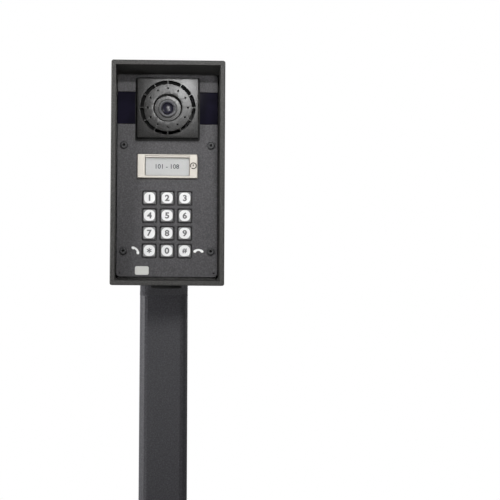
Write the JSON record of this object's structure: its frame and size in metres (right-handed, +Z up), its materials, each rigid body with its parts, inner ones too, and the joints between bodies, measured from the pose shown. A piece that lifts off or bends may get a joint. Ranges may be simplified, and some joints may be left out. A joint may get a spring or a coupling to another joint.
{
  "type": "gate intercom post",
  "caption": "Goose-neck steel post on a floor plate, carrying an intercom head with a rain hood, a camera and speaker block, a call button and a keypad.",
  "frame": {"origin": "on the ground, at the middle of the whole object's outline seen from above", "axes": "+Z up; the front with the keypad faces -Y; +X is to the right seen from the front"},
  "size_m": [0.2, 0.3726, 1.2],
  "materials": {
    "post_paint": "dark grey powder coat, fine texture",
    "head_paint": "grey powder coat, fine texture",
    "panel_paint": "dark grey powder coat, fine texture",
    "steel": "plated",
    "black_screw": "black oxide",
    "satin_metal": "satin",
    "rubber": "matt",
    "key_plastic": "satin white",
    "smoked_plastic": "gloss, passes infrared",
    "lens_glass": "coated lens",
    "lens_metal": "satin black",
    "light_ring": "satin grey",
    "card": "printed card",
    "clear_plastic": "clear, gloss",
    "board": "circuit board",
    "black_plastic": "satin black"
  },
  "bodies": {
    "post": {"base_plate": "post_paint", "foot_weld": "post_paint", "upright_tube": "post_paint", "sloping_tube": "post_paint", "neck_arm": "post_paint", "mounting_plate": "post_paint", "earth_stud": "steel", "earth_washer": "steel", "earth_nut": "steel", "back_gasket": "rubber", "housing": "head_paint", "cable_entry_plug": "black_plastic", "housing_screw_1": "steel", "housing_screw_2": "steel", "housing_screw_3": "steel", "housing_screw_4": "steel", "panel_gasket": "rubber", "front_panel": "panel_paint", "panel_screw_1": "black_screw", "panel_screw_2": "black_screw", "panel_screw_3": "black_screw", "panel_screw_4": "black_screw", "camera_block": "panel_paint", "camera_barrel": "lens_metal", "camera_light_ring": "light_ring", "camera_lens": "lens_glass", "camera_board": "board", "speaker": "black_plastic", "ir_window_left": "smoked_plastic", "ir_window_right": "smoked_plastic", "ir_board_left": "board", "ir_board_right": "board", "keypad_mat": "rubber", "front_board": "board", "call_switch": "black_plastic", "main_board": "board", "terminal_block": "black_plastic", "microphone_left": "rubber", "microphone_right": "rubber", "tamper_switch": "black_plastic"},
    "call_button": {"call_button": "satin_metal", "label_card": "card", "label_window": "clear_plastic"},
    "key_1": {"key_1": "key_plastic"},
    "key_2": {"key_2": "key_plastic"},
    "key_3": {"key_3": "key_plastic"},
    "key_4": {"key_4": "key_plastic"},
    "key_5": {"key_5": "key_plastic"},
    "key_6": {"key_6": "key_plastic"},
    "key_7": {"key_7": "key_plastic"},
    "key_8": {"key_8": "key_plastic"},
    "key_9": {"key_9": "key_plastic"},
    "key_star": {"key_star": "key_plastic"},
    "key_0": {"key_0": "key_plastic"},
    "key_hash": {"key_hash": "key_plastic"}
  },
  "joints": [
    {"name": "call_button_press", "type": "slide", "parent": "post", "child": "call_button", "axis": [0, 1, 0], "range_m": [0, 0.001], "stiffness_N_per_m": 1500, "springref_m": -0.001},
    {"name": "key_1_press", "type": "slide", "parent": "post", "child": "key_1", "axis": [0, 1, 0], "range_m": [0, 0.001], "stiffness_N_per_m": 800, "springref_m": -0.0005},
    {"name": "key_2_press", "type": "slide", "parent": "post", "child": "key_2", "axis": [0, 1, 0], "range_m": [0, 0.001], "stiffness_N_per_m": 800, "springref_m": -0.0005},
    {"name": "key_3_press", "type": "slide", "parent": "post", "child": "key_3", "axis": [0, 1, 0], "range_m": [0, 0.001], "stiffness_N_per_m": 800, "springref_m": -0.0005},
    {"name": "key_4_press", "type": "slide", "parent": "post", "child": "key_4", "axis": [0, 1, 0], "range_m": [0, 0.001], "stiffness_N_per_m": 800, "springref_m": -0.0005},
    {"name": "key_5_press", "type": "slide", "parent": "post", "child": "key_5", "axis": [0, 1, 0], "range_m": [0, 0.001], "stiffness_N_per_m": 800, "springref_m": -0.0005},
    {"name": "key_6_press", "type": "slide", "parent": "post", "child": "key_6", "axis": [0, 1, 0], "range_m": [0, 0.001], "stiffness_N_per_m": 800, "springref_m": -0.0005},
    {"name": "key_7_press", "type": "slide", "parent": "post", "child": "key_7", "axis": [0, 1, 0], "range_m": [0, 0.001], "stiffness_N_per_m": 800, "springref_m": -0.0005},
    {"name": "key_8_press", "type": "slide", "parent": "post", "child": "key_8", "axis": [0, 1, 0], "range_m": [0, 0.001], "stiffness_N_per_m": 800, "springref_m": -0.0005},
    {"name": "key_9_press", "type": "slide", "parent": "post", "child": "key_9", "axis": [0, 1, 0], "range_m": [0, 0.001], "stiffness_N_per_m": 800, "springref_m": -0.0005},
    {"name": "key_star_press", "type": "slide", "parent": "post", "child": "key_star", "axis": [0, 1, 0], "range_m": [0, 0.001], "stiffness_N_per_m": 800, "springref_m": -0.0005},
    {"name": "key_0_press", "type": "slide", "parent": "post", "child": "key_0", "axis": [0, 1, 0], "range_m": [0, 0.001], "stiffness_N_per_m": 800, "springref_m": -0.0005},
    {"name": "key_hash_press", "type": "slide", "parent": "post", "child": "key_hash", "axis": [0, 1, 0], "range_m": [0, 0.001], "stiffness_N_per_m": 800, "springref_m": -0.0005}
  ]
}
